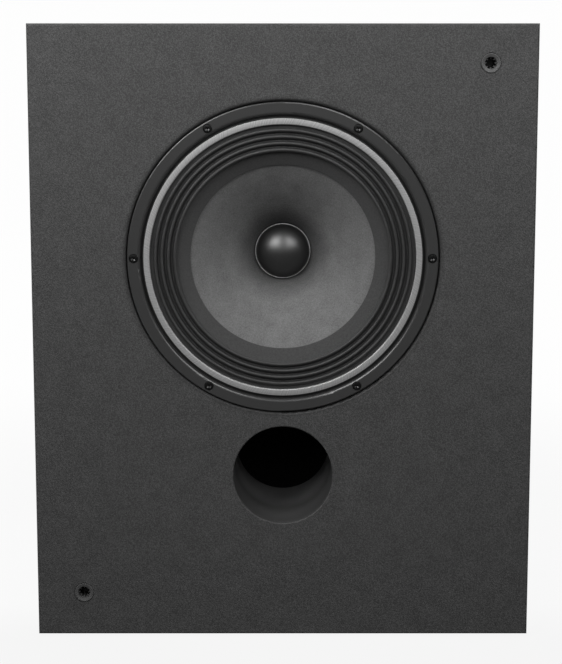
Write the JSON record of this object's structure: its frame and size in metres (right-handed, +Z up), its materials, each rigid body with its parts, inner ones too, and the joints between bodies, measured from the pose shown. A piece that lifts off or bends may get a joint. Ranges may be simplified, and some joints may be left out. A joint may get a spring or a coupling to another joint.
{
  "type": "bookshelf speaker",
  "caption": "Boxy ported bookshelf speaker with a round cone driver, a bright clamp ring, a dome cap, a front port, grille sockets and rear binding posts.",
  "frame": {"origin": "centre of the part's outline on the surface that its feet stand on", "axes": "+Z up, the baffle faces -Y, +X to the right as seen from the front"},
  "size_m": [0.34, 0.285, 0.423],
  "materials": {
    "painted_board": "fine textured dark grey paint on fibreboard",
    "raw_board": "bare fibreboard",
    "foot_rubber": "matt",
    "wadding": "loose polyester fibre",
    "port_plastic": "satin moulded",
    "socket_plastic": "satin moulded",
    "cast_frame": "satin dark grey powder coat",
    "gasket_foam": "closed cell foam",
    "black_screw": "black oxide",
    "turned_aluminium": "fine turned lines",
    "edge_cloth": "coated pleated cloth",
    "cone_paper": "pressed grey pulp",
    "dome_plastic": "satin",
    "former_aluminium": "rolled",
    "copper": "enamelled copper",
    "spider_cloth": "resin treated cotton",
    "plated_steel": "zinc plated",
    "ferrite": "matt sintered",
    "strip_board": "phenolic paper board",
    "cup_plastic": "moulded, fine spark texture",
    "gold_brass": "gold plated",
    "red_plastic": "moulded",
    "black_plastic": "moulded",
    "red_wire": "PVC insulation",
    "black_wire": "PVC insulation"
  },
  "bodies": {
    "cabinet": {"front_baffle": "painted_board", "back_panel": "painted_board", "top_panel": "painted_board", "bottom_panel": "painted_board", "left_side_panel": "painted_board", "right_side_panel": "painted_board", "window_brace": "raw_board", "rubber_feet": "foot_rubber", "damping_pad_left": "wadding", "damping_pad_right": "wadding", "damping_pad_back": "wadding", "port_tube": "port_plastic", "grille_socket_upper": "socket_plastic", "grille_socket_lower": "socket_plastic", "driver_frame": "cast_frame", "driver_gasket": "gasket_foam", "terminal_gasket": "gasket_foam", "driver_screws": "black_screw", "terminal_screws": "black_screw", "clamp_ring": "turned_aluminium", "surround": "edge_cloth", "tinsel_leads": "copper", "spider": "spider_cloth", "top_plate": "plated_steel", "yoke": "plated_steel", "frame_screws": "plated_steel", "post_nuts": "plated_steel", "driver_tabs": "plated_steel", "post_tags": "plated_steel", "spade_connectors": "plated_steel", "magnet": "ferrite", "driver_terminal_strip": "strip_board", "terminal_cup": "cup_plastic", "red_post_stud": "gold_brass", "black_post_stud": "gold_brass", "red_post_collar": "red_plastic", "black_post_collar": "black_plastic", "red_lead_wire": "red_wire", "black_lead_wire": "black_wire"},
    "moving_cone": {"cone": "cone_paper", "dust_cap": "dome_plastic", "dust_cap_ring": "turned_aluminium", "voice_coil_former": "former_aluminium", "voice_coil": "copper"},
    "red_washer": {"red_post_washer": "gold_brass"},
    "red_knob": {"red_post_knob": "red_plastic"},
    "black_washer": {"black_post_washer": "gold_brass"},
    "black_knob": {"black_post_knob": "black_plastic"}
  },
  "joints": [
    {"name": "cone_travel", "type": "slide", "parent": "cabinet", "child": "moving_cone", "axis": [0, -1, 0], "range_m": [-0.004, 0.004], "stiffness_N_per_m": 1600, "deforming": ["surround", "spider", "tinsel_leads"]},
    {"name": "red_washer_travel", "type": "slide", "parent": "cabinet", "child": "red_washer", "axis": [0, 1, 0], "range_m": [0, 0.005]},
    {"name": "red_knob_turn", "type": "hinge", "parent": "red_washer", "child": "red_knob", "pos_m": [-0.0095, 0.13, 0.113], "axis": [0, 1, 0], "range_deg": [0, 1800]},
    {"name": "black_washer_travel", "type": "slide", "parent": "cabinet", "child": "black_washer", "axis": [0, 1, 0], "range_m": [0, 0.005]},
    {"name": "black_knob_turn", "type": "hinge", "parent": "black_washer", "child": "black_knob", "pos_m": [0.0095, 0.13, 0.113], "axis": [0, 1, 0], "range_deg": [0, 1800]}
  ],
  "couplings": [
    {"joint": "red_knob_turn", "follows": "red_washer_travel", "rad_per_m": 6283.2},
    {"joint": "black_knob_turn", "follows": "black_washer_travel", "rad_per_m": 6283.2}
  ]
}
